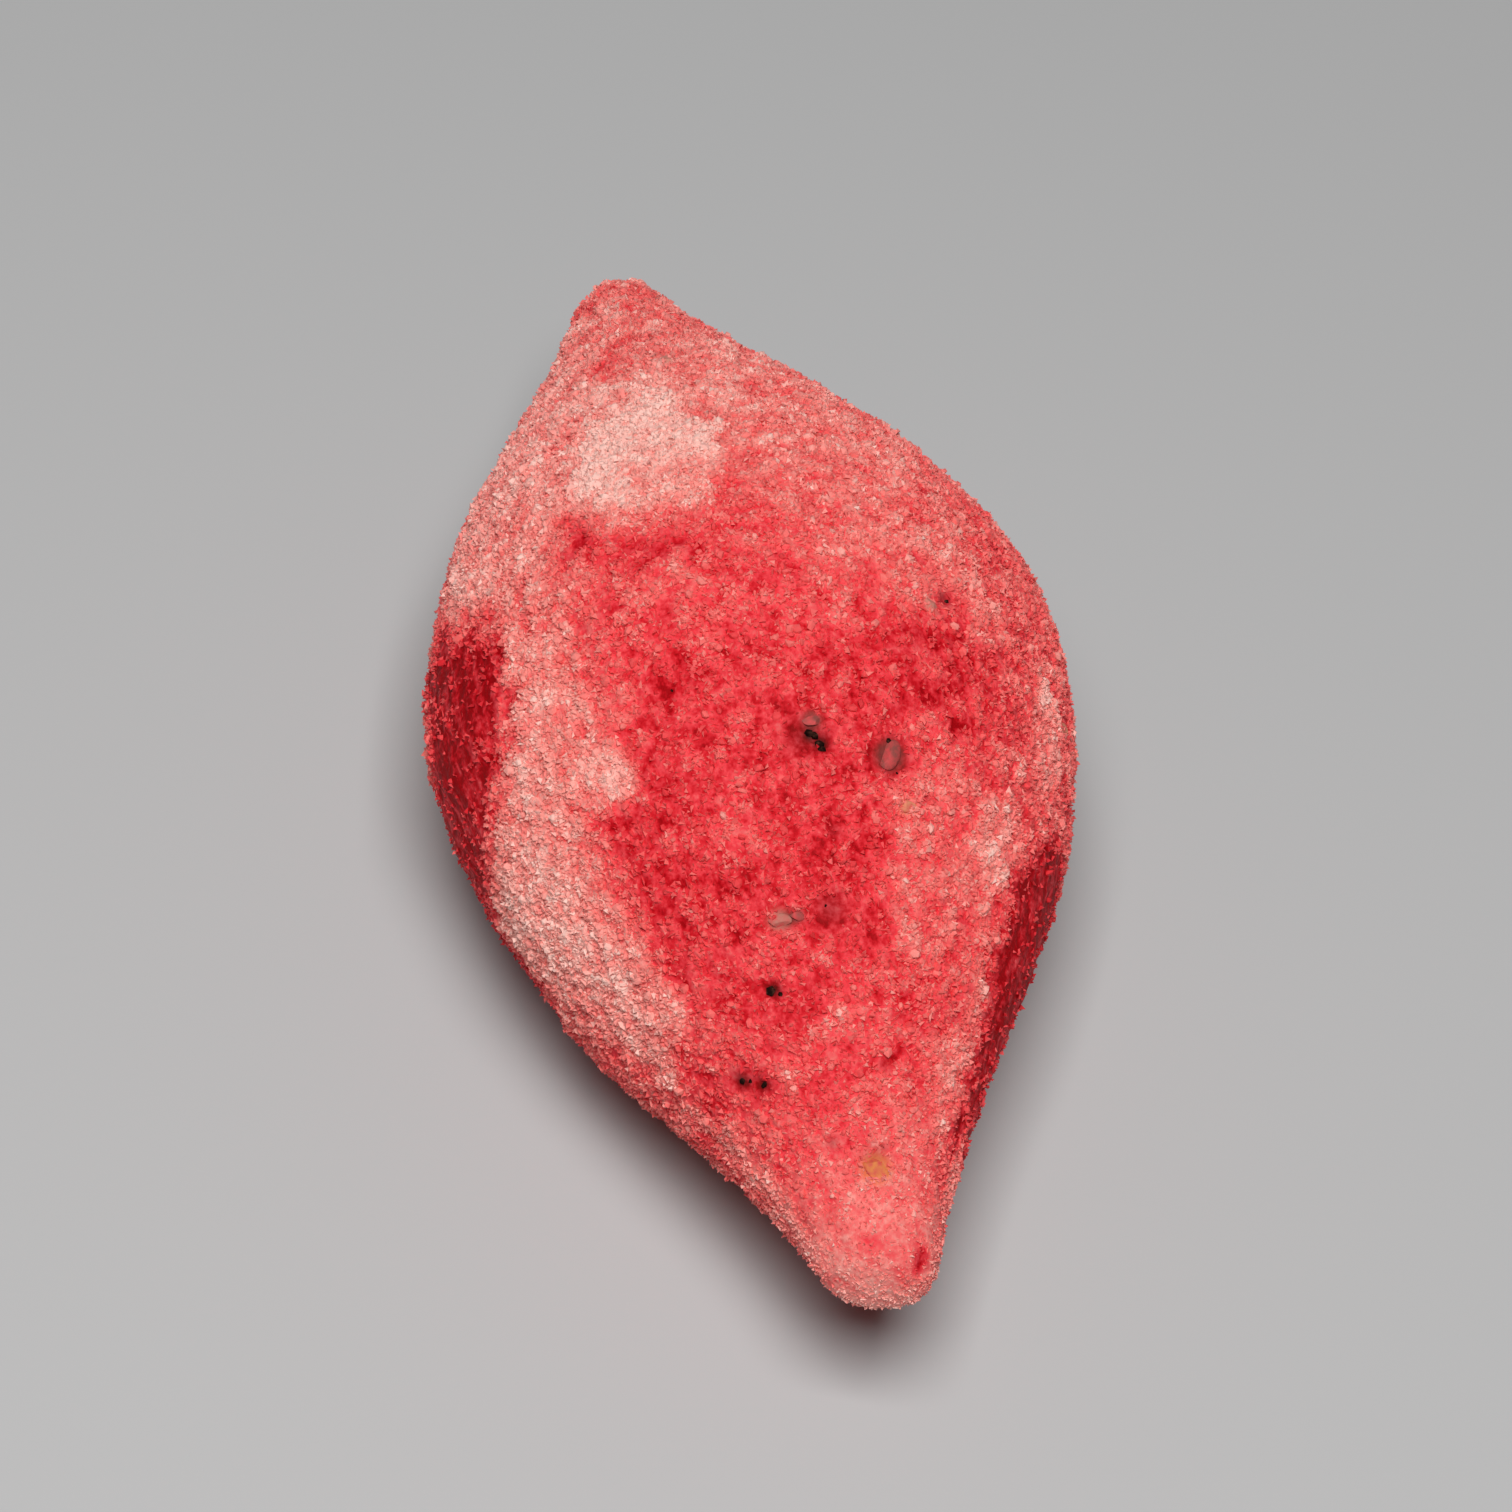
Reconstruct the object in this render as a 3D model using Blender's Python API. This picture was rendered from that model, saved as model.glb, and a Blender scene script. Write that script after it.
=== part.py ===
"""A raw stuffed kibbeh, shaped by hand into a short torpedo and frozen.

Metres, +Z up. The long axis lies along X: the slim end points to +X and the stubby one to -X.
The kibbeh lies on its belly, and the origin is under its middle, on the surface that it rests on.
"""

import math
from collections import namedtuple

import bmesh
import bpy
from mathutils import Vector, noise

# Driving dimensions of the belly, the thickest ring, which is a little wider than it is high.
BELLY_RADIUS = 0.0202
HEIGHT_SHARE = 0.95
BELLY_SINK = 0.0012  # how much of the soft belly was pressed flat when it was laid down to freeze
SINK_BLEND = 0.0003  # how gently the flat spot runs out into the round belly

# Each end is a cone that hollows a little towards a blunt nub, where the paste was pinched shut.
End = namedtuple("End", "reach fullness pinch nub_radius nub_power side_bend rise slant")
STUBBY_END = End(0.0377, 1.90, 1.46, 0.0027, 30, -0.0018, 0.0014, -0.30)
SLIM_END = End(0.0400, 1.80, 1.55, 0.0033, 50, -0.0007, -0.0024, 0.28)
NUB_ROUNDNESS = 0.33  # 0.5 rounds a nub off like a ball, and less makes it squarer
SLANT_POWER = 24  # a nub slants more and more towards its tip
BEND_POWER = 2.2  # an end bends more and more towards its nub

# Swellings, and hollows of negative height, that the palms left: the place along the axis, the degrees
# round it (0 is +Y and 90 is up), how far it spreads, and its height.
Swelling = namedtuple("Swelling", "along around spread height")
SWELLINGS = (
    Swelling(-0.0155, 180, 0.0090, 0.00065),
    Swelling(-0.0110, 0, 0.0080, 0.00025),
    Swelling(0.0100, 75, 0.0085, -0.00035),
    Swelling(0.0060, 290, 0.0090, 0.00040),
    Swelling(-0.0200, 110, 0.0060, -0.00030),
    Swelling(0.0245, 25, 0.0060, 0.00035),
    Swelling(0.0190, 205, 0.0042, 0.00085),
    Swelling(-0.0262, 245, 0.0040, 0.00040),
    Swelling(-0.0235, 15, 0.0060, -0.00060),
    Swelling(0.0330, 20, 0.0040, -0.00040),
)

# The surface is uneven at three scales: palm marks, coarse paste, and crusted frost.
Relief = namedtuple("Relief", "pitch height")
RELIEFS = (Relief(0.0150, 0.00045), Relief(0.0060, 0.00022), Relief(0.0032, 0.00017))
RELIEF_START = Vector((3.7, 1.3, 8.1))  # where in the noise the first relief is read

SEGMENTS = 76
RINGS = 76

PASTE_RED = (0.55, 0.045, 0.065, 1.0)
PASTE_ROUGHNESS = 0.75


def clear_scene():
    for obj in list(bpy.data.objects):
        bpy.data.objects.remove(obj)


def frosted_paste():
    """Beetroot-red meat and bulgur paste under a thin coat of frost."""
    material = bpy.data.materials.new("frosted_paste")
    material.use_nodes = True
    shader = material.node_tree.nodes["Principled BSDF"]
    shader.inputs["Base Color"].default_value = PASTE_RED
    shader.inputs["Roughness"].default_value = PASTE_ROUGHNESS
    shader.inputs["Metallic"].default_value = 0.0
    return material


def ring_radius(end, share):
    """Radius of the ring at this share of an end's reach, from 0 at the belly to 1 at the nub."""
    cone = (BELLY_RADIUS - end.nub_radius) * (1 - share**end.fullness) ** end.pinch
    nub = end.nub_radius * (1 - share**end.nub_power) ** NUB_ROUNDNESS
    return cone + nub


def swelling_at(along, angle):
    """Height of all the swellings together at a place on the skin."""
    total = 0.0
    for swelling in SWELLINGS:
        turn = angle - math.radians(swelling.around)
        turn = math.atan2(math.sin(turn), math.cos(turn))
        distance = math.hypot(along - swelling.along, turn * BELLY_RADIUS)
        total += swelling.height * math.exp(-0.5 * (distance / swelling.spread) ** 2)
    return total


def relief_at(point):
    total = 0.0
    start = RELIEF_START.copy()
    for relief in RELIEFS:
        total += relief.height * noise.noise(point / relief.pitch + start)
        start += RELIEF_START
    return total


def laid_down(height):
    """Presses what would reach below the surface flat against it, with a soft edge."""
    if height <= -SINK_BLEND:
        return 0.0
    if height < SINK_BLEND:
        return (height + SINK_BLEND) ** 2 / (4 * SINK_BLEND)
    return height


def skin_point(unit):
    """The point of the kibbeh's skin for a point of the unit sphere whose poles are on Z."""
    lengthwise = max(-1.0, min(1.0, unit.z))
    angle = math.atan2(unit.y, unit.x)
    end = SLIM_END if lengthwise > 0 else STUBBY_END
    share = abs(lengthwise)
    along = lengthwise * end.reach
    radius = ring_radius(end, share)
    bend = share**BEND_POWER
    outward = Vector((0, math.cos(angle), HEIGHT_SHARE * math.sin(angle)))
    middle = Vector((along, end.side_bend * bend, end.rise * bend))

    round_point = middle + outward * radius
    fade = math.sqrt(radius / BELLY_RADIUS)
    uneven = (swelling_at(along, angle) + relief_at(round_point)) * fade
    point = middle + outward * (radius + uneven)
    point.x += end.slant * (point.y - middle.y) * share**SLANT_POWER
    point.z = laid_down(point.z + HEIGHT_SHARE * BELLY_RADIUS - BELLY_SINK)
    return point


def centre_over_origin(vertices):
    """Moves the vertices so that the origin is under the middle of their box."""
    for axis in (0, 1):
        low = min(vertex.co[axis] for vertex in vertices)
        high = max(vertex.co[axis] for vertex in vertices)
        for vertex in vertices:
            vertex.co[axis] -= (low + high) / 2


def kibbeh(collection):
    form = bmesh.new()
    bmesh.ops.create_uvsphere(form, u_segments=SEGMENTS, v_segments=RINGS, radius=1.0)
    for vertex in form.verts:
        vertex.co = skin_point(vertex.co)
    centre_over_origin(form.verts)
    form.normal_update()

    mesh = bpy.data.meshes.new("kibbeh")
    form.to_mesh(mesh)
    form.free()
    mesh.shade_smooth()
    mesh.materials.append(frosted_paste())
    obj = bpy.data.objects.new("kibbeh", mesh)
    collection.objects.link(obj)
    return obj


clear_scene()
stuffed_kibbeh = bpy.data.collections.new("stuffed_kibbeh")
bpy.context.scene.collection.children.link(stuffed_kibbeh)
kibbeh(stuffed_kibbeh)
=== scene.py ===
import math
from collections import namedtuple

import bmesh
import bpy
import numpy as np
from mathutils import Matrix, Quaternion, Vector, noise


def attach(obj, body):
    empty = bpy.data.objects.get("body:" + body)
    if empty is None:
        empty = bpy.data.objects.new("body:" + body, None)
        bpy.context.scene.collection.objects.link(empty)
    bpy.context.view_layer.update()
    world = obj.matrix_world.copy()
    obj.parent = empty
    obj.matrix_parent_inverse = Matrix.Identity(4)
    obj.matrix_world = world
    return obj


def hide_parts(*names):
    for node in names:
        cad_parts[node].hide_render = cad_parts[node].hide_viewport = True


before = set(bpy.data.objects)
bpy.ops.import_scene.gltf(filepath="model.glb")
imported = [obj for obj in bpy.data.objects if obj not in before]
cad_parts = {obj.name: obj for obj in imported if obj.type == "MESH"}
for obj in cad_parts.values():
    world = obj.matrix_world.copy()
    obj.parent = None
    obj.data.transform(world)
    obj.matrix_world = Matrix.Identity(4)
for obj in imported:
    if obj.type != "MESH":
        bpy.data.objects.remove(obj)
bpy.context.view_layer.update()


# Shell of the kibbeh
# A stiff red paste of lean meat and fine bulgur, closed by hand round its stuffing and rolled between wet
# palms. Frozen raw, it keeps the crumb of the bulgur, palm marks, and rime wherever moist air could reach.

MM = 0.001  # one millimetre in metres
SHELL_MESH_MM = 0.30  # a mesh fine enough for crumbs of about a millimetre
SAME_PLACE_MM = 0.001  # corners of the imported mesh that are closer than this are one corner


def settled(obj):
    """Turns what the modifiers make of an object into its own mesh."""
    made = bpy.data.meshes.new_from_object(obj.evaluated_get(bpy.context.evaluated_depsgraph_get()))
    obj.modifiers.clear()
    obj.data = made


def rolled_paste(name):
    """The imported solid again, in an even and much finer mesh with its facets smoothed off."""
    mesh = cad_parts["kibbeh"].data.copy()
    form = bmesh.new()
    form.from_mesh(mesh)
    bmesh.ops.remove_doubles(form, verts=form.verts, dist=SAME_PLACE_MM * MM)
    form.to_mesh(mesh)
    form.free()
    mesh.materials.clear()
    shell = bpy.data.objects.new(name, mesh)
    bpy.context.scene.collection.objects.link(shell)
    evening = shell.modifiers.new("evening", "REMESH")
    evening.mode = "VOXEL"
    evening.voxel_size = SHELL_MESH_MM * MM
    smoothing = shell.modifiers.new("smoothing", "SMOOTH")
    smoothing.factor = 0.5
    smoothing.iterations = 3
    settled(shell)
    return shell


def places_of(mesh):
    """The vertices' places in millimetres."""
    flat = np.empty(len(mesh.vertices) * 3)
    mesh.vertices.foreach_get("co", flat)
    return flat.reshape(-1, 3) / MM


def outward_of(mesh):
    """The vertices' outward directions."""
    flat = np.empty(len(mesh.vertices) * 3)
    mesh.vertices.foreach_get("normal", flat)
    return flat.reshape(-1, 3)


LUMPS_STEP = np.array([17.3, 5.9, 11.1])  # each seed reads the noise this much further on
CRUMBS_STEP = np.array([7.7, 13.1, 3.3])


def lumps(places, pitch_mm, seed):
    """Smooth noise of this pitch at each place, from about -1 to 1."""
    start = LUMPS_STEP * seed
    return np.array([noise.noise(Vector(place)) for place in places / pitch_mm + start])


def crumbs(places, pitch_mm, seed):
    """Rounded grains packed side by side, 1 at a grain's middle and 0 or less between grains."""
    start = CRUMBS_STEP * seed
    nearest = [noise.voronoi(Vector(place))[0][0] for place in places / pitch_mm + start]
    return 1 - 2 * np.array(nearest)


shell = rolled_paste("paste_shell")
smooth_places = places_of(shell.data)
smooth_outward = outward_of(shell.data)

# The spine runs through the middle of each cross-section, from the stubby end to the slim one. A place on
# the skin is given by its distance along X and the degrees round the spine: 0 is +Y and 90 is up.
SPINE_CUTS = 78
CUT_MM = 1  # a cut takes in the skin within this of it
skin_along = smooth_places[:, 0]
spine_along = np.linspace(skin_along.min() + CUT_MM, skin_along.max() - CUT_MM, SPINE_CUTS)
cuts = [smooth_places[np.abs(skin_along - along) < CUT_MM] for along in spine_along]
spine_side = [(cut[:, 1].min() + cut[:, 1].max()) / 2 for cut in cuts]
spine_height = [(cut[:, 2].min() + cut[:, 2].max()) / 2 for cut in cuts]


def round_spine(places):
    """Degrees round the spine of each place."""
    side = places[:, 1] - np.interp(places[:, 0], spine_along, spine_side)
    height = places[:, 2] - np.interp(places[:, 0], spine_along, spine_height)
    return np.degrees(np.arctan2(height, side))


def turn_between(around, other):
    """Degrees from one direction round the spine to another, from -180 to 180."""
    return (around - other + 180) % 360 - 180


# Rime in patches, laid on one over another: where each lies, how far it reaches along and round, how much
# rime it has (0 is bare wet paste and 1 a thick pale crust), and how soft its edge is.
Patch = namedtuple("Patch", "along around reach turn rime softness")
RIME_PATCHES = (
    Patch(-33, 105, 9, 70, 0.60, 0.50),
    Patch(-39, 100, 2.5, 180, 0.62, 0.50),
    Patch(-20, 80, 9, 24, 0.68, 0.45),
    Patch(-10, 64, 11, 22, 0.65, 0.50),
    Patch(-14, 148, 18, 18, 0.78, 0.40),
    Patch(-25, 112, 3.5, 12, 0.48, 0.45),
    Patch(-17.6, 110.5, 6.5, 16, 0.84, 0.40),
    Patch(-11.5, 110, 7.1, 16, 1.00, 0.17),
    Patch(1, 100, 9, 28, 0.39, 0.50),
    Patch(6, 88, 6, 14, 0.32, 0.50),
    Patch(-2, 75, 7, 16, 0.60, 0.50),
    Patch(10, 8, 22, 16, 0.40, 0.50),
    Patch(0, 30, 14, 22, 0.42, 0.45),
    Patch(-3, 50, 6, 12, 0.54, 0.50),
    Patch(3, 58, 6, 12, 0.61, 0.50),
    Patch(2, 147, 9, 12, 0.68, 0.60),
    Patch(18, 112, 12, 34, 0.28, 0.35),
    Patch(8.5, 65, 5.5, 20, 0.26, 0.45),
    # The pale band on the lower left flank is rime, but this patch and Patch(23, 196) are given a little
    # less of it as painted shade, darker where that flank lies in shade.
    Patch(15, 174, 10.5, 29, 0.72, 0.22),
    Patch(12.5, 170, 6, 16, 0.87, 0.45),
    Patch(1.5, 149, 5, 7, 0.78, 0.50),
    Patch(7.5, 152, 5, 9, 0.78, 0.50),
    Patch(8.9, 137, 2.2, 6, 0.74, 0.60),
    Patch(9.8, 134, 0.9, 3, 0.90, 0.70),
    Patch(25.5, 163, 2.6, 12, 0.30, 0.40),
    Patch(-1.2, 184, 8.6, 33, 0.04, 0.30),
    Patch(-1.8, 157, 2.4, 9, 0.06, 0.35),
    Patch(-4.5, 184, 3.0, 10, 0.30, 0.60),
    Patch(4, 214, 14, 24, 0.05, 0.22),
    Patch(18.5, 58, 7.5, 18, 0.54, 0.40),
    Patch(16.3, 45, 2.4, 6, 0.74, 0.45),
    Patch(8, 29, 5, 6, 0.64, 0.40),
    Patch(21, 5, 8.5, 32, 0.04, 0.25),
    Patch(30.5, 5, 6.5, 27, 0.09, 0.40),
    Patch(29, 102, 5, 45, 0.42, 0.50),
    Patch(36, 90, 4, 70, 0.63, 0.50),
    Patch(32, 186, 7, 22, 0.66, 0.35),
    # Painted shade: less rime here darkens the lower left flank where it lies in shade.
    Patch(23, 196, 8, 14, 0.42, 0.50),
    Patch(35, 12, 5, 14, 0.62, 0.40),
    Patch(38.2, 47, 0.6, 10, 0.26, 0.50),
    Patch(38.8, 270, 1.3, 95, 0.80, 0.50),
    Patch(0, 270, 11, 26, 0.06, 0.25),
)
EVEN_RIME = 0.50  # where no patch lies
LEAST_RIME = -0.25  # the wettest bare paste
WET_RIME = 0.12  # a patch with less than this was kept bare by what it touched, so its edge is smooth
SMOOTH_FRAY = 0.3  # how ragged a smooth edge is
SOFT_FRAY = 1.4  # how much more ragged an edge is, the softer it is

# Smooth noise laid on in layers, each with its strength, its pitch in millimetres and its seed.
Layer = namedtuple("Layer", "strength pitch_mm seed")
UNEVEN_RIME = (Layer(0.42, 13.0, 3), Layer(0.20, 5.0, 4))
RAGGED_EDGE = (Layer(0.26, 4.0, 1), Layer(0.24, 1.7, 2), Layer(0.12, 0.9, 11))
MOTTLE = (Layer(0.15, 2.8, 5), Layer(0.12, 1.5, 12))

KNOB_MM = 0.95  # the knobs that the grains of fine bulgur make in the paste
KNOB_MIDDLE = 0.1  # about the mean of the knobs
KNOB_RIME_AND_SHADE = 0.20  # knob tops are paler and the gaps redder: partly more rime on a knob out in the cold air, partly painted shade between knobs

PINCH_START_MM = 29  # from here to the slim nub's tip the fingertips smoothed the paste
PINCH_LENGTH_MM = 8


def layered(places, layers, base=0.0):
    """All the layers added to the base."""
    return sum((layer.strength * lumps(places, layer.pitch_mm, layer.seed) for layer in layers), base)


def pinched(places):
    """How smooth the fingertips left each place: 1 at the slim nub, where the paste was pinched shut."""
    return np.clip((places[:, 0] - PINCH_START_MM) / PINCH_LENGTH_MM, 0, 1)


def rime_at(places, knobs):
    """How much rime lies at each place: 0 is bare, 1 a thick crust, and less than 0 bare and wet."""
    around = round_spine(places)
    ragged = layered(places, RAGGED_EDGE)
    rime = layered(places, UNEVEN_RIME, EVEN_RIME)
    for patch in RIME_PATCHES:
        away = np.hypot((places[:, 0] - patch.along) / patch.reach,
                        turn_between(around, patch.around) / patch.turn)
        fray = SMOOTH_FRAY + SOFT_FRAY * patch.softness if patch.rime > WET_RIME else SMOOTH_FRAY
        edge = away + ragged * fray
        cover = np.clip((1 + patch.softness - edge) / (2 * patch.softness), 0, 1)
        eased = cover * cover * (3 - 2 * cover)
        rime = rime + (patch.rime - rime) * eased
    # Partly painted shade between the knobs: their tops get more rime and the gaps less.
    mottled = layered(places, MOTTLE) + KNOB_RIME_AND_SHADE * (knobs - KNOB_MIDDLE)
    # Bare wet paste, a thick crust and the pinched nub are less mottled than thin rime.
    lively = np.clip(rime / 0.15, 0.3, 1) * np.clip(1.6 - rime, 0.5, 1) * (1 - 0.6 * pinched(places))
    return np.clip(rime + mottled * lively, LEAST_RIME, 1)


# Pits where a spice grain or a bit of bulgur pulled the paste in as it froze: how wide and deep each is in
# millimetres, and how dark the paste turns there: a grey stain in the wide shallow pits, and partly painted
# shade at the bottom of the deep ones.
Pit = namedtuple("Pit", "along around radius depth stain")
PITS = (
    Pit(10.9, 92.8, 0.55, 0.40, 1.00),
    Pit(11.5, 91.0, 0.55, 0.50, 1.00),
    Pit(10.9, 93.6, 1.20, 0.12, 0.45),
    Pit(12.4, 75.0, 1.05, 0.14, 0.45),
    Pit(20.4, 96.0, 1.00, 0.18, 0.40),
    Pit(20.4, 108.0, 0.50, 0.15, 0.50),
    Pit(33.0, 94.0, 0.90, 0.12, 0.25),
    Pit(23.6, 120, 0.45, 0.30, 0.90),
    Pit(26.6, 147, 0.60, 0.30, 0.80),
    Pit(27.4, 140, 0.50, 0.25, 0.70),
    Pit(16.2, 91, 0.40, 0.28, 0.40),
    Pit(14.6, 66, 0.40, 0.25, 0.35),
    Pit(31.5, 118, 0.40, 0.20, 0.35),
    Pit(28.5, 81, 0.40, 0.20, 0.30),
    Pit(38.2, 47, 0.60, 0.10, 0.12),
    Pit(2.0, 58, 0.55, 0.22, 0.50),
    Pit(-20.0, 262, 0.80, 0.35, 0.80),
    Pit(9.0, 318, 0.90, 0.45, 0.90),
    Pit(-6.0, 341, 0.60, 0.30, 0.70),
    Pit(17.0, 243, 0.70, 0.35, 0.80),
)

# Bits of bulgur that lie at the surface: how long each is, how many degrees it lies off the long axis, and
# its tone, from 0 for tan through 0.5 for pale to 1 for a dull brown.
Bit = namedtuple("Bit", "along around length lie tone")
BITS = (
    Bit(33.5, 93, 1.7, 38, 0.00), Bit(12.4, 75, 1.8, -24, 1.00), Bit(20.4, 111, 1.3, 75, 0.75),
    Bit(20.4, 105, 0.9, 60, 1.00), Bit(15.2, 71, 1.1, 80, 0.25), Bit(3.0, 62, 1.0, 30, 0.70),
    Bit(-24.0, 96, 1.0, 20, 0.60), Bit(6.0, 21, 1.2, 75, 0.30), Bit(-13.0, 335, 1.4, 50, 0.20),
    Bit(21.0, 330, 1.2, 10, 0.65), Bit(-4.0, 250, 1.3, 65, 0.80), Bit(-22.0, 215, 1.2, 25, 0.15),
    Bit(15.0, 222, 1.4, 85, 0.45), Bit(29.0, 265, 1.0, 40, 0.20), Bit(10.2, 92.0, 1.1, 75, 1.00),
)
SMEAR_REACH = 0.55  # the paste is tinted by a bit out to this share of its length
SMEAR_MOST = 0.85  # how far the paste is tinted over a bit's middle


def skin_place(along, around):
    """The vertex of the smooth shell nearest to a place given along and round the spine."""
    turn = np.radians(turn_between(round_spine(smooth_places), around))
    radius = np.hypot(smooth_places[:, 1], smooth_places[:, 2] - smooth_places[:, 2].mean())
    return int(np.argmin(np.hypot(skin_along - along, turn * radius)))


FROST_DEPTH_MM = 0.12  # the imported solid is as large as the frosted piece, so the paste starts inside it
KNOB_HEIGHT_MM = 0.22
CRUMB_MM = 1.7  # crumbs of paste, coarser than the knobs
CRUMB_HEIGHT_MM = 0.12
DENT_MM = 3.0  # shallow dents from the palms
DENT_HEIGHT_MM = 0.10
CRUST_HEIGHT_MM = 0.16  # how much higher a thick crust stands than bare paste
CRUST_LUMP_MM = 0.8  # the thicker the crust is, the lumpier
CRUST_LUMP_HEIGHT_MM = 0.04
PIT_RIME_LOSS = 0.35  # how much rime a pit keeps off

knobs = crumbs(smooth_places, KNOB_MM, 9)
rime = rime_at(smooth_places, knobs)
# The crumb shows best through thin rime, and less on bare wet paste, in a thick crust and on the nub.
crumbly = np.clip(0.4 + 1.1 * rime, 0.4, 1) * np.clip(1.7 - rime, 0.6, 1)
crumbly *= 1 - 0.65 * pinched(smooth_places)
relief = (CRUMB_HEIGHT_MM * crumbs(smooth_places, CRUMB_MM, 8) + KNOB_HEIGHT_MM * knobs) * crumbly
relief += DENT_HEIGHT_MM * lumps(smooth_places, DENT_MM, 7)
relief += (CRUST_HEIGHT_MM * (rime - 0.5)
           + CRUST_LUMP_HEIGHT_MM * rime * lumps(smooth_places, CRUST_LUMP_MM, 10) - FROST_DEPTH_MM)
pitted = np.zeros(len(smooth_places))
for pit in PITS:
    middle = smooth_places[skin_place(pit.along, pit.around)]
    away = np.linalg.norm(smooth_places - middle, axis=1) / pit.radius
    hollow = np.exp(-away**2)
    relief -= pit.depth * hollow
    # Stain, and painted shade: the paste darkens most at the bottom of each deep pit.
    pitted = np.maximum(pitted, pit.stain * hollow)
rime = np.clip(rime - PIT_RIME_LOSS * pitted, LEAST_RIME, 1)

smeared = np.zeros(len(smooth_places))
tone = np.zeros(len(smooth_places))
for bit in BITS:
    middle = smooth_places[skin_place(bit.along, bit.around)]
    away = np.linalg.norm(smooth_places - middle, axis=1) / (SMEAR_REACH * bit.length)
    tint = SMEAR_MOST * np.exp(-away**4)
    tone = np.where(tint > smeared, bit.tone, tone)
    smeared = np.maximum(smeared, tint)

FLOOR_BLEND_MM = 0.5  # within this of the floor the relief fades out, so that the belly stays flat
relief *= np.clip(smooth_places[:, 2] / FLOOR_BLEND_MM, 0, 1)
rough_places = smooth_places + smooth_outward * relief[:, None]
rough_places[:, 2] = np.maximum(rough_places[:, 2], 0)
shell.data.vertices.foreach_set("co", (rough_places * MM).ravel())
shell.data.shade_smooth()
for name, values in (("rime", rime), ("pitted", pitted), ("smeared", smeared), ("tone", tone)):
    shell.data.attributes.new(name, "FLOAT", "POINT").data.foreach_set("value", values.astype(np.float32))
shell.data.update()


def linear(srgb_hex):
    """A colour given as sRGB hex, as the linear colour that shaders take."""
    shares = [int(srgb_hex[i:i + 2], 16) / 255 for i in (1, 3, 5)]
    return [s / 12.92 if s <= 0.04045 else ((s + 0.055) / 1.055) ** 2.4 for s in shares] + [1.0]


def add_node(material, kind, settings=None, links=None, stops=None):
    """Adds a node with its settings, the sockets linked into it, and the colour stops of a ramp. Where a
    node has several inputs of one name, they go by their numbers."""
    tree = material.node_tree
    made = tree.nodes.new(kind)
    for name, value in (settings or {}).items():
        if isinstance(name, str) and name in made.bl_rna.properties:
            setattr(made, name, value)
        else:
            made.inputs[name].default_value = value
    for name, socket in (links or {}).items():
        tree.links.new(socket, made.inputs[name])
    if stops:
        elements = made.color_ramp.elements
        for place, _ in stops[1:-1]:
            elements.new(place)
        for element, (place, colour) in zip(elements, stops):
            element.position = place
            element.color = linear(colour)
    return made


def new_material(name):
    """An empty material and the socket that its shader goes into."""
    material = bpy.data.materials.new(name)
    material.use_nodes = True
    material.node_tree.nodes.clear()
    output = add_node(material, "ShaderNodeOutputMaterial")
    return material, output.inputs["Surface"]


def bulgur_colour(material):
    """The colour of soaked bulgur by its tone: tan, pale, or dull brown where its husk is left on."""
    tone = add_node(material, "ShaderNodeAttribute", {"attribute_name": "tone"}).outputs["Fac"]
    return add_node(material, "ShaderNodeValToRGB", links={"Fac": tone}, stops=(
        (0.00, "#DA8348"), (0.50, "#DC9584"), (1.00, "#8C4A44"))).outputs["Color"]


GRAIN_MM = 0.42  # single grains of meat and bulgur
FIBRE_MM = 1.6  # threads of meat
STREAK_LENGTH_MM = 5  # streaks that rolling drew out along the bare wet paste
STREAK_WIDTH_MM = 0.7
GRAIN_RELIEF_MM = 0.14  # how far single grains stand out


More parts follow.
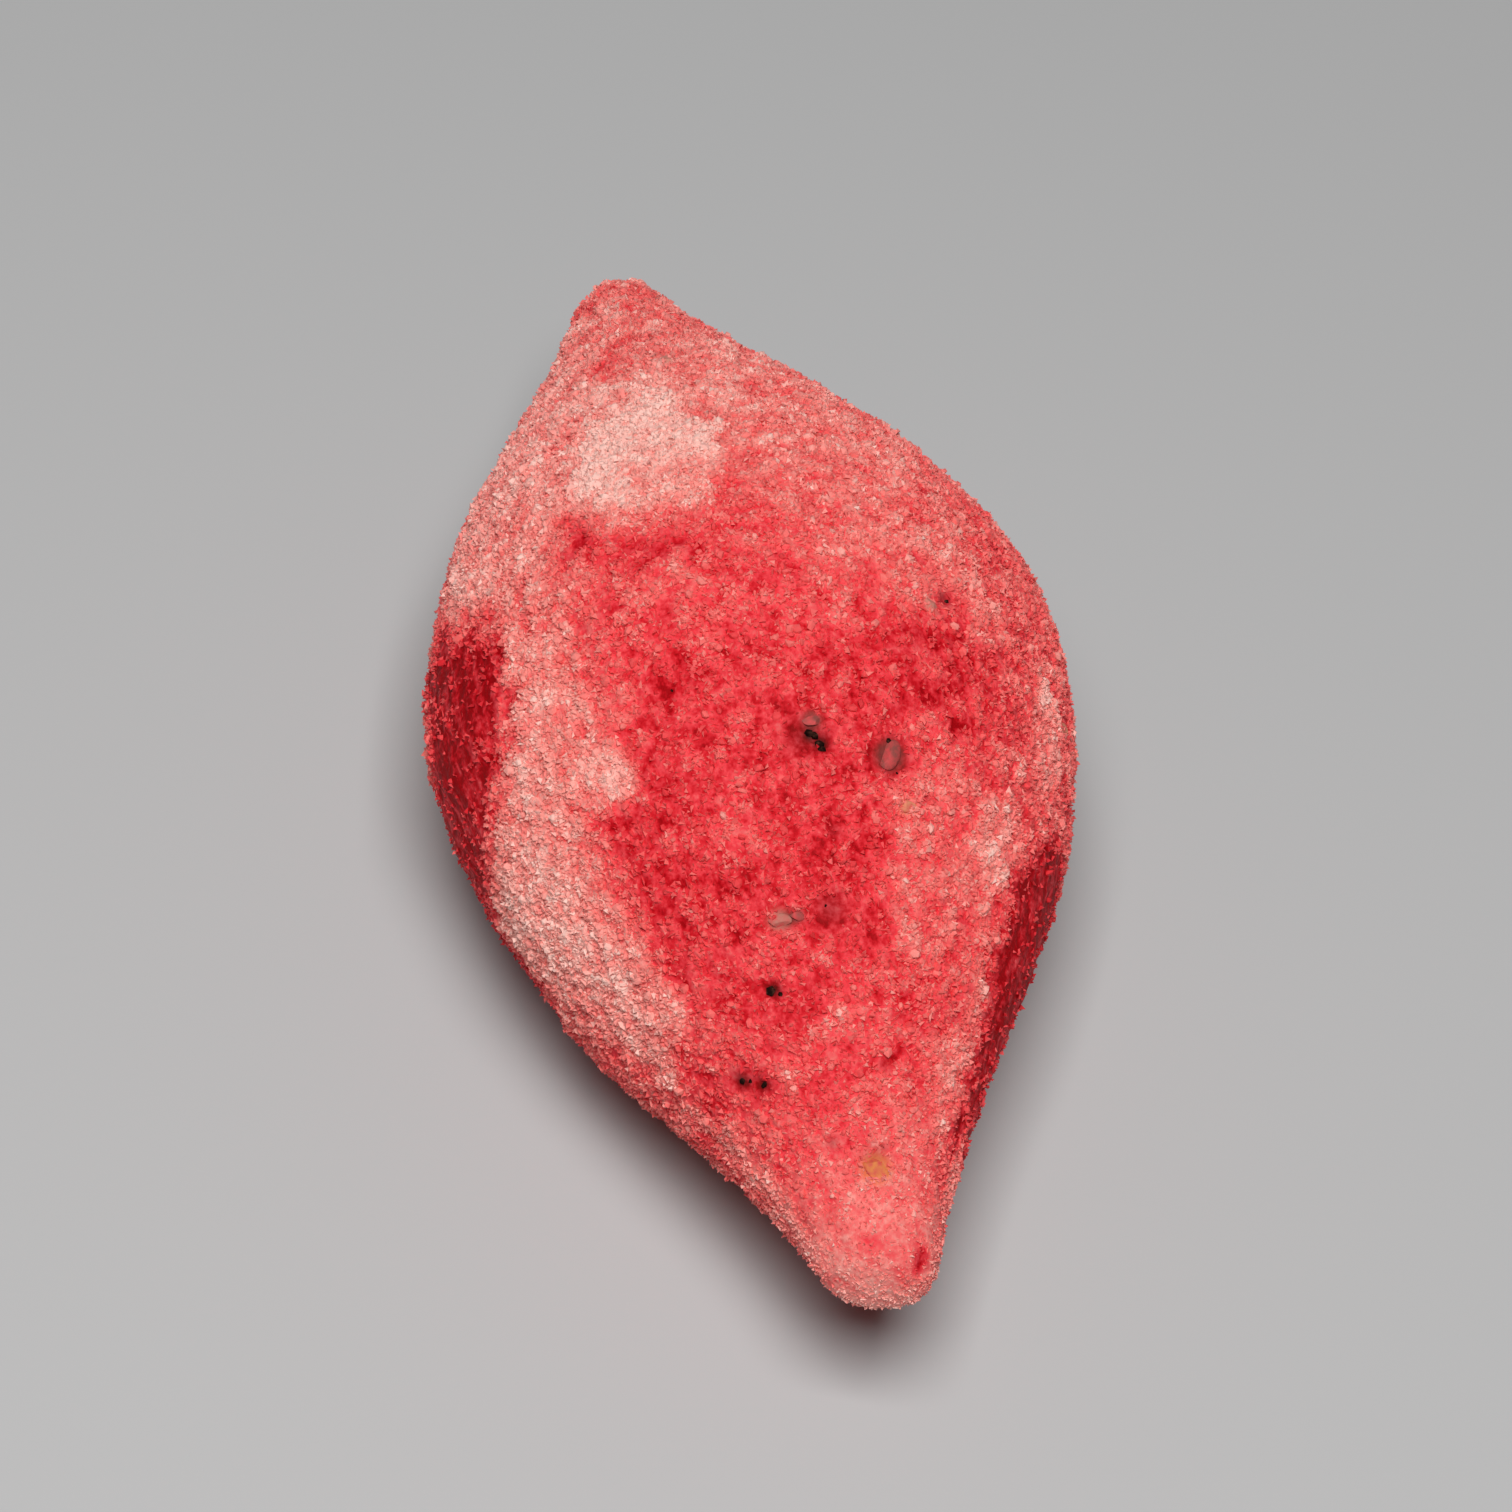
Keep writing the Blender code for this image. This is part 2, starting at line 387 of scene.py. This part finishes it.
def frozen_kibbeh_paste():
    """Raw meat and bulgur paste under rime. Bare paste is a deep wet red, a little see-through, and rime
    breaks up over it into pale pink grains, so the colour runs from deep red through pink to salmon."""
    material, surface = new_material("frozen_kibbeh_paste")
    place = add_node(material, "ShaderNodeTexCoord").outputs["Object"]
    rime = add_node(material, "ShaderNodeAttribute", {"attribute_name": "rime"}).outputs["Fac"]
    pitted = add_node(material, "ShaderNodeAttribute", {"attribute_name": "pitted"}).outputs["Fac"]
    grain = add_node(material, "ShaderNodeTexNoise",
                     {"Scale": 1 / (GRAIN_MM * MM), "Detail": 2.0, "Roughness": 0.6},
                     {"Vector": place}).outputs["Fac"]
    fibre = add_node(material, "ShaderNodeTexNoise",
                     {"Scale": 1 / (FIBRE_MM * MM), "Detail": 3.0, "Roughness": 0.55},
                     {"Vector": place}).outputs["Fac"]
    grain_part = add_node(material, "ShaderNodeMath", {"operation": "MULTIPLY_ADD", 1: 0.85, 2: -0.425},
                          {0: grain}).outputs[0]
    fibre_part = add_node(material, "ShaderNodeMath", {"operation": "MULTIPLY_ADD", 1: 0.50, 2: -0.25},
                          {0: fibre}).outputs[0]
    broken = add_node(material, "ShaderNodeMath", {"operation": "ADD"},
                      {0: grain_part, 1: fibre_part}).outputs[0]
    thin = add_node(material, "ShaderNodeMath", {"operation": "MULTIPLY_ADD", 1: -0.6, 2: 1.1},
                    {0: rime}).outputs[0]
    grainy = add_node(material, "ShaderNodeMath", {"operation": "MULTIPLY_ADD"},
                      {0: broken, 1: thin, 2: rime}).outputs[0]
    across = 1 / (STREAK_WIDTH_MM * MM)
    drawn_out = add_node(material, "ShaderNodeMapping",
                         {"Scale": (1 / (STREAK_LENGTH_MM * MM), across, across)},
                         {"Vector": place}).outputs["Vector"]
    streak = add_node(material, "ShaderNodeTexNoise", {"Scale": 1.0, "Detail": 3.0},
                      {"Vector": drawn_out}).outputs["Fac"]
    streak_part = add_node(material, "ShaderNodeMath", {"operation": "MULTIPLY_ADD", 1: 1.1, 2: -0.5},
                           {0: streak}).outputs[0]
    bare = add_node(material, "ShaderNodeMath",
                    {"operation": "MULTIPLY_ADD", "use_clamp": True, 1: -2.5, 2: 1.0}, {0: rime}).outputs[0]
    shade = add_node(material, "ShaderNodeMath", {"operation": "MULTIPLY_ADD"},
                     {0: streak_part, 1: bare, 2: grainy}).outputs[0]
    colour = add_node(material, "ShaderNodeValToRGB", links={"Fac": shade}, stops=(
        (0.00, "#A00911"), (0.10, "#BE121D"), (0.20, "#D0222C"), (0.38, "#E8424A"),
        (0.58, "#ED6866"), (0.80, "#F4998F"), (1.00, "#F8BCB0"))).outputs["Color"]
    smeared = add_node(material, "ShaderNodeAttribute", {"attribute_name": "smeared"}).outputs["Fac"]
    tinted = add_node(material, "ShaderNodeMix", {"data_type": "RGBA"},
                      {0: smeared, 6: colour, 7: bulgur_colour(material)}).outputs[2]
    # Darker in the pits: a grey stain in the wide shallow ones, and partly painted shade at the bottom of
    # the deep ones.
    stained_and_shaded = add_node(material, "ShaderNodeMix", {"data_type": "RGBA", 7: linear("#3A1C18")},
                       {0: pitted, 6: tinted}).outputs[2]
    bump = add_node(material, "ShaderNodeBump", {"Strength": 0.8, "Distance": GRAIN_RELIEF_MM * MM},
                    {"Height": grain}).outputs["Normal"]
    shader = add_node(material, "ShaderNodeBsdfPrincipled",
                      {"Roughness": 0.55, "IOR": 1.36, "Subsurface Weight": 0.10,
                       "Subsurface Radius": (1.0, 0.25, 0.2), "Subsurface Scale": 1.0 * MM,
                       "Specular IOR Level": 0.06},
                      {"Base Color": stained_and_shaded, "Normal": bump})
    material.node_tree.links.new(shader.outputs["BSDF"], surface)
    return material


shell.data.materials.append(frozen_kibbeh_paste())
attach(shell, "root")
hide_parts("kibbeh")


# Spice specks
# Cracked black pepper and allspice worked into the paste. A few broken bits show at the surface, most of
# them sunk in a small pit.

dice = np.random.default_rng(20)  # every random draw comes from here, so each run gives the same grains

UNEVENNESS = 0.3  # how far a grain's corners stand off an even shape
LEAST_STRETCH = 0.6  # how much a grain is squashed or drawn out along each of its sides
MOST_STRETCH = 1.25
ABOVE_FLOOR_MM = 0.02  # no grain reaches lower than this


def corners_and_triangles(form):
    """The corners of a small shape as an array, and the corners of each triangle."""
    bmesh.ops.triangulate(form, faces=form.faces)
    form.verts.index_update()
    corners = np.array([vertex.co for vertex in form.verts])
    triangles = np.array([[vertex.index for vertex in face.verts] for face in form.faces])
    form.free()
    return corners, triangles


def crumb_shape():
    """A ball of 20 faces, about 1 in radius."""
    form = bmesh.new()
    bmesh.ops.create_icosphere(form, subdivisions=1, radius=1.0)
    return corners_and_triangles(form)


def turned_at_random(count):
    """Rotation matrices, evenly spread over every way that a grain can lie."""
    turns = dice.normal(size=(count, 4))
    w, x, y, z = (turns / np.linalg.norm(turns, axis=1)[:, None]).T
    return np.array([
        [1 - 2 * (y * y + z * z), 2 * (x * y - w * z), 2 * (x * z + w * y)],
        [2 * (x * y + w * z), 1 - 2 * (x * x + z * z), 2 * (y * z - w * x)],
        [2 * (x * z - w * y), 2 * (y * z + w * x), 1 - 2 * (x * x + y * y)],
    ]).transpose(2, 0, 1)


def strewn(name, shape, middles, sizes, whiteness):
    """One mesh of many uneven grains of one shape, each with its middle and half-length in millimetres."""
    corners, triangles = shape
    count = len(middles)
    uneven = corners[None] * (1 + UNEVENNESS * dice.uniform(-1, 1, (count, len(corners), 1)))
    stretch = dice.uniform(LEAST_STRETCH, MOST_STRETCH, (count, 1, 3)) * sizes[:, None, None]
    turned = np.einsum("nij,nkj->nki", turned_at_random(count), uneven * stretch)
    vertices = (turned + middles[:, None]) * MM
    vertices[:, :, 2] = np.maximum(vertices[:, :, 2], ABOVE_FLOOR_MM * MM)
    faces = triangles[None] + (np.arange(count) * len(corners))[:, None, None]
    mesh = bpy.data.meshes.new(name)
    mesh.from_pydata(vertices.reshape(-1, 3).tolist(), [], faces.reshape(-1, 3).tolist())
    values = np.repeat(whiteness, len(corners)).astype(np.float32)
    mesh.attributes.new("whiteness", "FLOAT", "POINT").data.foreach_set("value", values)
    piece = bpy.data.objects.new(name, mesh)
    bpy.context.scene.collection.objects.link(piece)
    return piece


# The broken bits of spice that show, each with its half-length in millimetres.
Speck = namedtuple("Speck", "along around size")
SPECKS = (
    # The four specks on this line fill the black hole of the deepest pit: pepper, and partly painted shade
    # in that hole.
    Speck(10.7, 93.4, 0.36), Speck(11.0, 92.4, 0.42), Speck(11.4, 91.4, 0.42), Speck(11.8, 90.5, 0.34),
    Speck(11.5, 75.6, 0.20), Speck(13.3, 74.0, 0.12),
    Speck(23.6, 120.5, 0.30), Speck(23.8, 118.2, 0.22),
    Speck(26.6, 147.5, 0.30), Speck(27.4, 140.0, 0.26), Speck(27.0, 144.0, 0.18),
    Speck(20.4, 108.0, 0.16), Speck(20.1, 97.0, 0.12), Speck(9.0, 122.0, 0.12),
    Speck(2.2, 58.0, 0.20), Speck(-12.2, 111.5, 0.12), Speck(-8.0, 84.0, 0.12),
    Speck(6.3, 117.5, 0.11),
    Speck(-20.0, 262.0, 0.34), Speck(9.0, 318.0, 0.36), Speck(9.6, 316.0, 0.20),
    Speck(-6.0, 341.0, 0.26), Speck(17.0, 243.0, 0.30), Speck(-14.0, 20.0, 0.20),
    Speck(3.0, 230.0, 0.22), Speck(-27.0, 300.0, 0.20), Speck(24.0, 290.0, 0.18),
)
speck_at = [skin_place(speck.along, speck.around) for speck in SPECKS]
specks = strewn("spice_specks", crumb_shape(), rough_places[speck_at],
                np.array([speck.size for speck in SPECKS]), np.zeros(len(SPECKS)))

HUSK_MOTTLE_MM = 0.3  # the wrinkles of the husk


def cracked_spice():
    """Broken pepper husk: nearly black brown, dry and matt."""
    material, surface = new_material("cracked_spice")
    place = add_node(material, "ShaderNodeTexCoord").outputs["Object"]
    mottle = add_node(material, "ShaderNodeTexNoise", {"Scale": 1 / (HUSK_MOTTLE_MM * MM)},
                      {"Vector": place}).outputs["Fac"]
    colour = add_node(material, "ShaderNodeValToRGB", links={"Fac": mottle}, stops=(
        (0.30, "#0E0706"), (0.55, "#24130E"), (0.75, "#523428"))).outputs["Color"]
    shader = add_node(material, "ShaderNodeBsdfPrincipled",
                      {"Roughness": 0.9, "Specular IOR Level": 0.05}, {"Base Color": colour})
    material.node_tree.links.new(shader.outputs["BSDF"], surface)
    return material


specks.data.materials.append(cracked_spice())
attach(specks, "root")


# Bulgur bits
# Cracked wheat, soaked and worked into the paste. Here and there a whole bit lies at the surface, half sunk
# and angular, and stays tan or brown where the red paste is smeared away from it.

CRACKS = 6
CRACK_DEPTH = 0.32  # how far each crack runs from the kernel's middle, while it is a ball 1 across
KERNEL_SIDES = Vector((1.15, 0.70, 0.42))  # then the ball is drawn out to this oval
KERNEL_LIFT_MM = 0.02  # how far a bit's middle stands off the paste


def broken_kernel(bit):
    """One bit of bulgur, sunk flat in the skin: an oval that was cracked along several planes."""
    at = skin_place(bit.along, bit.around)
    form = bmesh.new()
    bmesh.ops.create_icosphere(form, subdivisions=3, radius=0.5)
    for _ in range(CRACKS):
        side = Vector(dice.normal(size=3)).normalized()
        bmesh.ops.bisect_plane(form, geom=form.verts[:] + form.edges[:] + form.faces[:],
                               plane_co=side * CRACK_DEPTH, plane_no=side, clear_outer=True)
        bmesh.ops.holes_fill(form, edges=[edge for edge in form.edges if edge.is_boundary])
    bmesh.ops.scale(form, verts=form.verts, vec=KERNEL_SIDES * bit.length)
    outward = Vector(smooth_outward[at])
    lengthwise = (Vector((1, 0, 0)) - outward * outward.x).normalized()
    lengthwise.rotate(Quaternion(outward, math.radians(bit.lie)))
    lying = Matrix((lengthwise, outward.cross(lengthwise), outward)).transposed()
    bmesh.ops.rotate(form, verts=form.verts, matrix=lying)
    bmesh.ops.translate(form, verts=form.verts, vec=Vector(rough_places[at]) + KERNEL_LIFT_MM * outward)
    return form


def kernel_mesh(name, bits):
    """All the bits in one mesh, with the tone of each."""
    vertices, faces, tones = [], [], []
    for bit in bits:
        form = broken_kernel(bit)
        form.verts.index_update()
        faces += [[vertex.index + len(vertices) for vertex in face.verts] for face in form.faces]
        vertices += [vertex.co * MM for vertex in form.verts]
        tones += [bit.tone] * len(form.verts)
        form.free()
    mesh = bpy.data.meshes.new(name)
    mesh.from_pydata(vertices, [], faces)
    mesh.attributes.new("tone", "FLOAT", "POINT").data.foreach_set("value", tones)
    piece = bpy.data.objects.new(name, mesh)
    bpy.context.scene.collection.objects.link(piece)
    return piece


SOAKED_MOTTLE_MM = 0.45  # the patches that the red juice soaked into


def soaked_bulgur():
    """Soaked cracked wheat: dull, and tan to brown, mottled with the red juice that soaked into it."""
    material, surface = new_material("soaked_bulgur")
    place = add_node(material, "ShaderNodeTexCoord").outputs["Object"]
    mottle = add_node(material, "ShaderNodeTexNoise", {"Scale": 1 / (SOAKED_MOTTLE_MM * MM), "Detail": 3.0},
                      {"Vector": place}).outputs["Fac"]
    soaked = add_node(material, "ShaderNodeMath",
                      {"operation": "MULTIPLY_ADD", "use_clamp": True, 1: 3.0, 2: -1.1},
                      {0: mottle}).outputs[0]
    colour = add_node(material, "ShaderNodeMix", {"data_type": "RGBA", 7: linear("#CE4B4C")},
                      {0: soaked, 6: bulgur_colour(material)}).outputs[2]
    shader = add_node(material, "ShaderNodeBsdfPrincipled",
                      {"Roughness": 0.6, "IOR": 1.4, "Specular IOR Level": 0.15},
                      {"Base Color": colour})
    material.node_tree.links.new(shader.outputs["BSDF"], surface)
    return material


bulgur = kernel_mesh("bulgur_bits", BITS)
bulgur.data.materials.append(soaked_bulgur())
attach(bulgur, "root")


# Fine rime
# Ice crystals of a quarter to half a millimetre that grew on the skin in the freezer: shards, needles and
# flakes. Bare red paste has few, and a pale patch is covered with them.

shell.data.calc_loop_triangles()
triangle_corners = np.empty(len(shell.data.loop_triangles) * 3, np.int32)
shell.data.loop_triangles.foreach_get("vertices", triangle_corners)
triangle_corners = triangle_corners.reshape(-1, 3)
rough_outward = outward_of(shell.data)


def spots_on_skin(count, apart_mm):
    """Random spots on the skin, no two in one cube of this side, with their outward way and rime."""
    a, b, c = (rough_places[triangle_corners[:, i]] for i in range(3))
    area = np.linalg.norm(np.cross(b - a, c - a), axis=1)
    chosen = dice.choice(len(area), count, p=area / area.sum())
    shares = dice.dirichlet((1, 1, 1), count)
    corners = triangle_corners[chosen]
    spots = np.einsum("nk,nkj->nj", shares, rough_places[corners])
    outward = np.einsum("nk,nkj->nj", shares, rough_outward[corners])
    outward /= np.linalg.norm(outward, axis=1)[:, None]
    cover = np.einsum("nk,nk->n", shares, (rime - pitted)[corners])
    _, kept = np.unique(np.floor(spots / apart_mm).astype(int), axis=0, return_index=True)
    return spots[kept], outward[kept], cover[kept]


# How frost is strewn: how many spots are tried, how far apart they lie and how many are kept at most, the
# half-length of the smallest and largest grain, and how thickly a full crust is covered.
Frost = namedtuple("Frost", "tries apart_mm most smallest_mm largest_mm fullness")

CLUMP_MM = 1.1  # rime grows in clumps of about this size
CLUMPING = 0.3  # how much more there is in a clump
CLUMP_WHITENESS = 0.18  # how much whiter a clump is
THIN_RIME = 0.2  # rime thinner than this isn't clumped so much
STRAY_RIME = 0.012  # a few grains stick even to bare wet paste
USUAL_PAINTED_GLINT = 0.10  # painted highlight: how much whiter than its clump a grain is painted, for a glint
MOST_PAINTED_GLINT = 0.35
DULLNESS = 0.08  # takes back what the painted glints add on the whole
LOWEST = -0.1  # how far a grain's middle stands off the skin, as a share of its half-length
HIGHEST = 0.4


def grown_anywhere(spots, outward):
    """Rime grows on the skin whichever way it faces, but only half as much on the pinched nub."""
    return 1 - 0.5 * pinched(spots)


def frost_grains(name, shape, frost, settling=grown_anywhere):
    """Grains of frost strewn over the skin: as many as the rime there asks for, and paler in a crust."""
    spots, outward, cover = spots_on_skin(frost.tries, frost.apart_mm)
    clumped = lumps(spots, CLUMP_MM, 13)
    wanted = frost.fullness * (cover + CLUMPING * clumped * np.clip(cover / THIN_RIME, 0, 1))
    wanted = np.maximum(wanted, STRAY_RIME) * settling(spots, outward)
    clear_of_floor = spots[:, 2] > 2 * frost.largest_mm
    kept = (dice.random(len(spots)) < wanted) & clear_of_floor
    kept = dice.permutation(np.flatnonzero(kept))[:frost.most]
    sizes = dice.uniform(frost.smallest_mm, frost.largest_mm, len(kept))
    sizes = sizes * (1 - 0.3 * pinched(spots[kept]))
    # Painted highlight: a few grains are painted whiter, standing in for glints on the ice.
    painted_glints = np.minimum(dice.exponential(USUAL_PAINTED_GLINT, len(spots)), MOST_PAINTED_GLINT) - DULLNESS
    whiteness = np.clip(cover + CLUMP_WHITENESS * clumped + painted_glints, 0, 1)[kept]
    heights = sizes[:, None] * dice.uniform(LOWEST, HIGHEST, (len(kept), 1))
    return strewn(name, shape, spots[kept] + outward[kept] * heights, sizes, whiteness)


def crystal_shape(breadth, length, thickness):
    """A pointed crystal of 4 faces, about 1 in radius before it is drawn out or flattened."""
    form = bmesh.new()
    bmesh.ops.create_cone(form, segments=3, radius1=0.95, radius2=0.0, depth=1.35, cap_ends=True)
    bmesh.ops.scale(form, verts=form.verts, vec=(breadth, thickness, length))
    return corners_and_triangles(form)


def rime_ice():
    """Rime: clouded ice that takes on the red under it, rosy where it is thin and pale salmon in a crust.
    Its faces are small and rough, so it looks dull; a few grains are painted whiter as glints, a painted
    highlight."""
    material, surface = new_material("rime_ice")
    whiteness = add_node(material, "ShaderNodeAttribute", {"attribute_name": "whiteness"}).outputs["Fac"]
    colour = add_node(material, "ShaderNodeValToRGB", links={"Fac": whiteness}, stops=(
        (0.00, "#D52B33"), (0.30, "#EE5254"), (0.55, "#F37872"),
        (0.80, "#F9A398"), (1.00, "#FDC8BC"))).outputs["Color"]
    shader = add_node(material, "ShaderNodeBsdfPrincipled",
                      {"Roughness": 0.55, "IOR": 1.31, "Specular IOR Level": 0.15,
                       "Subsurface Weight": 0.2, "Subsurface Radius": (0.8, 0.7, 0.7),
                       "Subsurface Scale": 0.3 * MM},
                      {"Base Color": colour})
    material.node_tree.links.new(shader.outputs["BSDF"], surface)
    return material


rime_material = rime_ice()
FINE_RIME = Frost(190000, 0.22, 48000, 0.12, 0.24, 1.2)
CRYSTALS = {
    "rime_shards": (1.0, 1.0, 1.0),
    "rime_needles": (0.7, 1.5, 0.7),
    "rime_flakes": (1.25, 1.25, 0.5),
}
for name, sides in CRYSTALS.items():
    crystals = frost_grains(name, crystal_shape(*sides), FINE_RIME)
    crystals.data.materials.append(rime_material)
    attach(crystals, "root")


# Coarse frost
# Clumps of frozen dew, up to a millimetre across, that stand out as pale crumbs. They formed in the air of
# the freezer and settled on the kibbeh.

COARSE_FROST = Frost(40000, 0.6, 9500, 0.15, 0.30, 1.0)


def fallen_on_top(spots, outward):
    """Most crumbs of frost fall off the flanks and stay on top, and none stays on the pinched nub."""
    return np.clip(0.35 + outward[:, 2], 0.12, 1) * (1 - pinched(spots))


coarse = frost_grains("coarse_frost", crumb_shape(), COARSE_FROST, fallen_on_top)
coarse.data.materials.append(rime_material)
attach(coarse, "root")


# Floor, light and camera
# A plain pale floor under one large soft light overhead, towards the slim end. Sizes and places here are in
# metres.

FLOOR_SIDE = 6.0

bpy.ops.mesh.primitive_plane_add(size=FLOOR_SIDE, location=(0, 0, 0))
floor = bpy.context.object
floor.name = "floor"


def matt_paint():
    """Matt off-white paint, with no gloss to show."""
    material, surface = new_material("matt_paint")
    shader = add_node(material, "ShaderNodeBsdfPrincipled",
                      {"Base Color": linear("#BEBEBE"), "Roughness": 0.9, "Specular IOR Level": 0.1})
    material.node_tree.links.new(shader.outputs["BSDF"], surface)
    return material


floor.data.materials.append(matt_paint())

SHADOW_FILL = 0.03  # a faint even glow, so that no shadow is black

world = bpy.data.worlds.new("studio")
world.use_nodes = True
background = world.node_tree.nodes["Background"]
background.inputs["Color"].default_value = linear("#FFFFFF")
background.inputs["Strength"].default_value = SHADOW_FILL
bpy.context.scene.world = world

LOOKED_AT = Vector((0, 0, 0.018))  # the kibbeh's middle


def facing_kibbeh(place):
    """The turn that points a light or a camera at this place to the kibbeh."""
    return (LOOKED_AT - place).to_track_quat("-Z", "Y")


LIGHT_PLACE = Vector((0.21, -0.08, 0.545))
LIGHT_SIDE = 0.22
LIGHT_WATTS = 3.45

light_data = bpy.data.lights.new("overhead", "AREA")
light_data.shape = "SQUARE"
light_data.size = LIGHT_SIDE
light_data.energy = LIGHT_WATTS
light = bpy.data.objects.new("overhead", light_data)
light.location = LIGHT_PLACE
light.rotation_euler = facing_kibbeh(LIGHT_PLACE).to_euler()
bpy.context.scene.collection.objects.link(light)

# The camera stands where the photograph was taken from, turned to the kibbeh, with a longer lens.
CAMERA_PLACE = Vector((0.20085, -0.0712, 0.2790))
CAMERA_ROLL = math.radians(9.04)
LENS = 128
SENSOR_WIDTH = 36

camera_data = bpy.data.cameras.new("camera")
camera_data.lens = LENS
camera_data.sensor_width = SENSOR_WIDTH
camera_data.clip_start = 0.01
camera = bpy.data.objects.new("camera", camera_data)
camera.location = CAMERA_PLACE
camera.rotation_mode = "QUATERNION"
camera.rotation_quaternion = facing_kibbeh(CAMERA_PLACE) @ Quaternion((0, 0, 1), CAMERA_ROLL)
bpy.context.scene.collection.objects.link(camera)
bpy.context.scene.camera = camera
bpy.context.scene.view_settings.view_transform = "Standard"
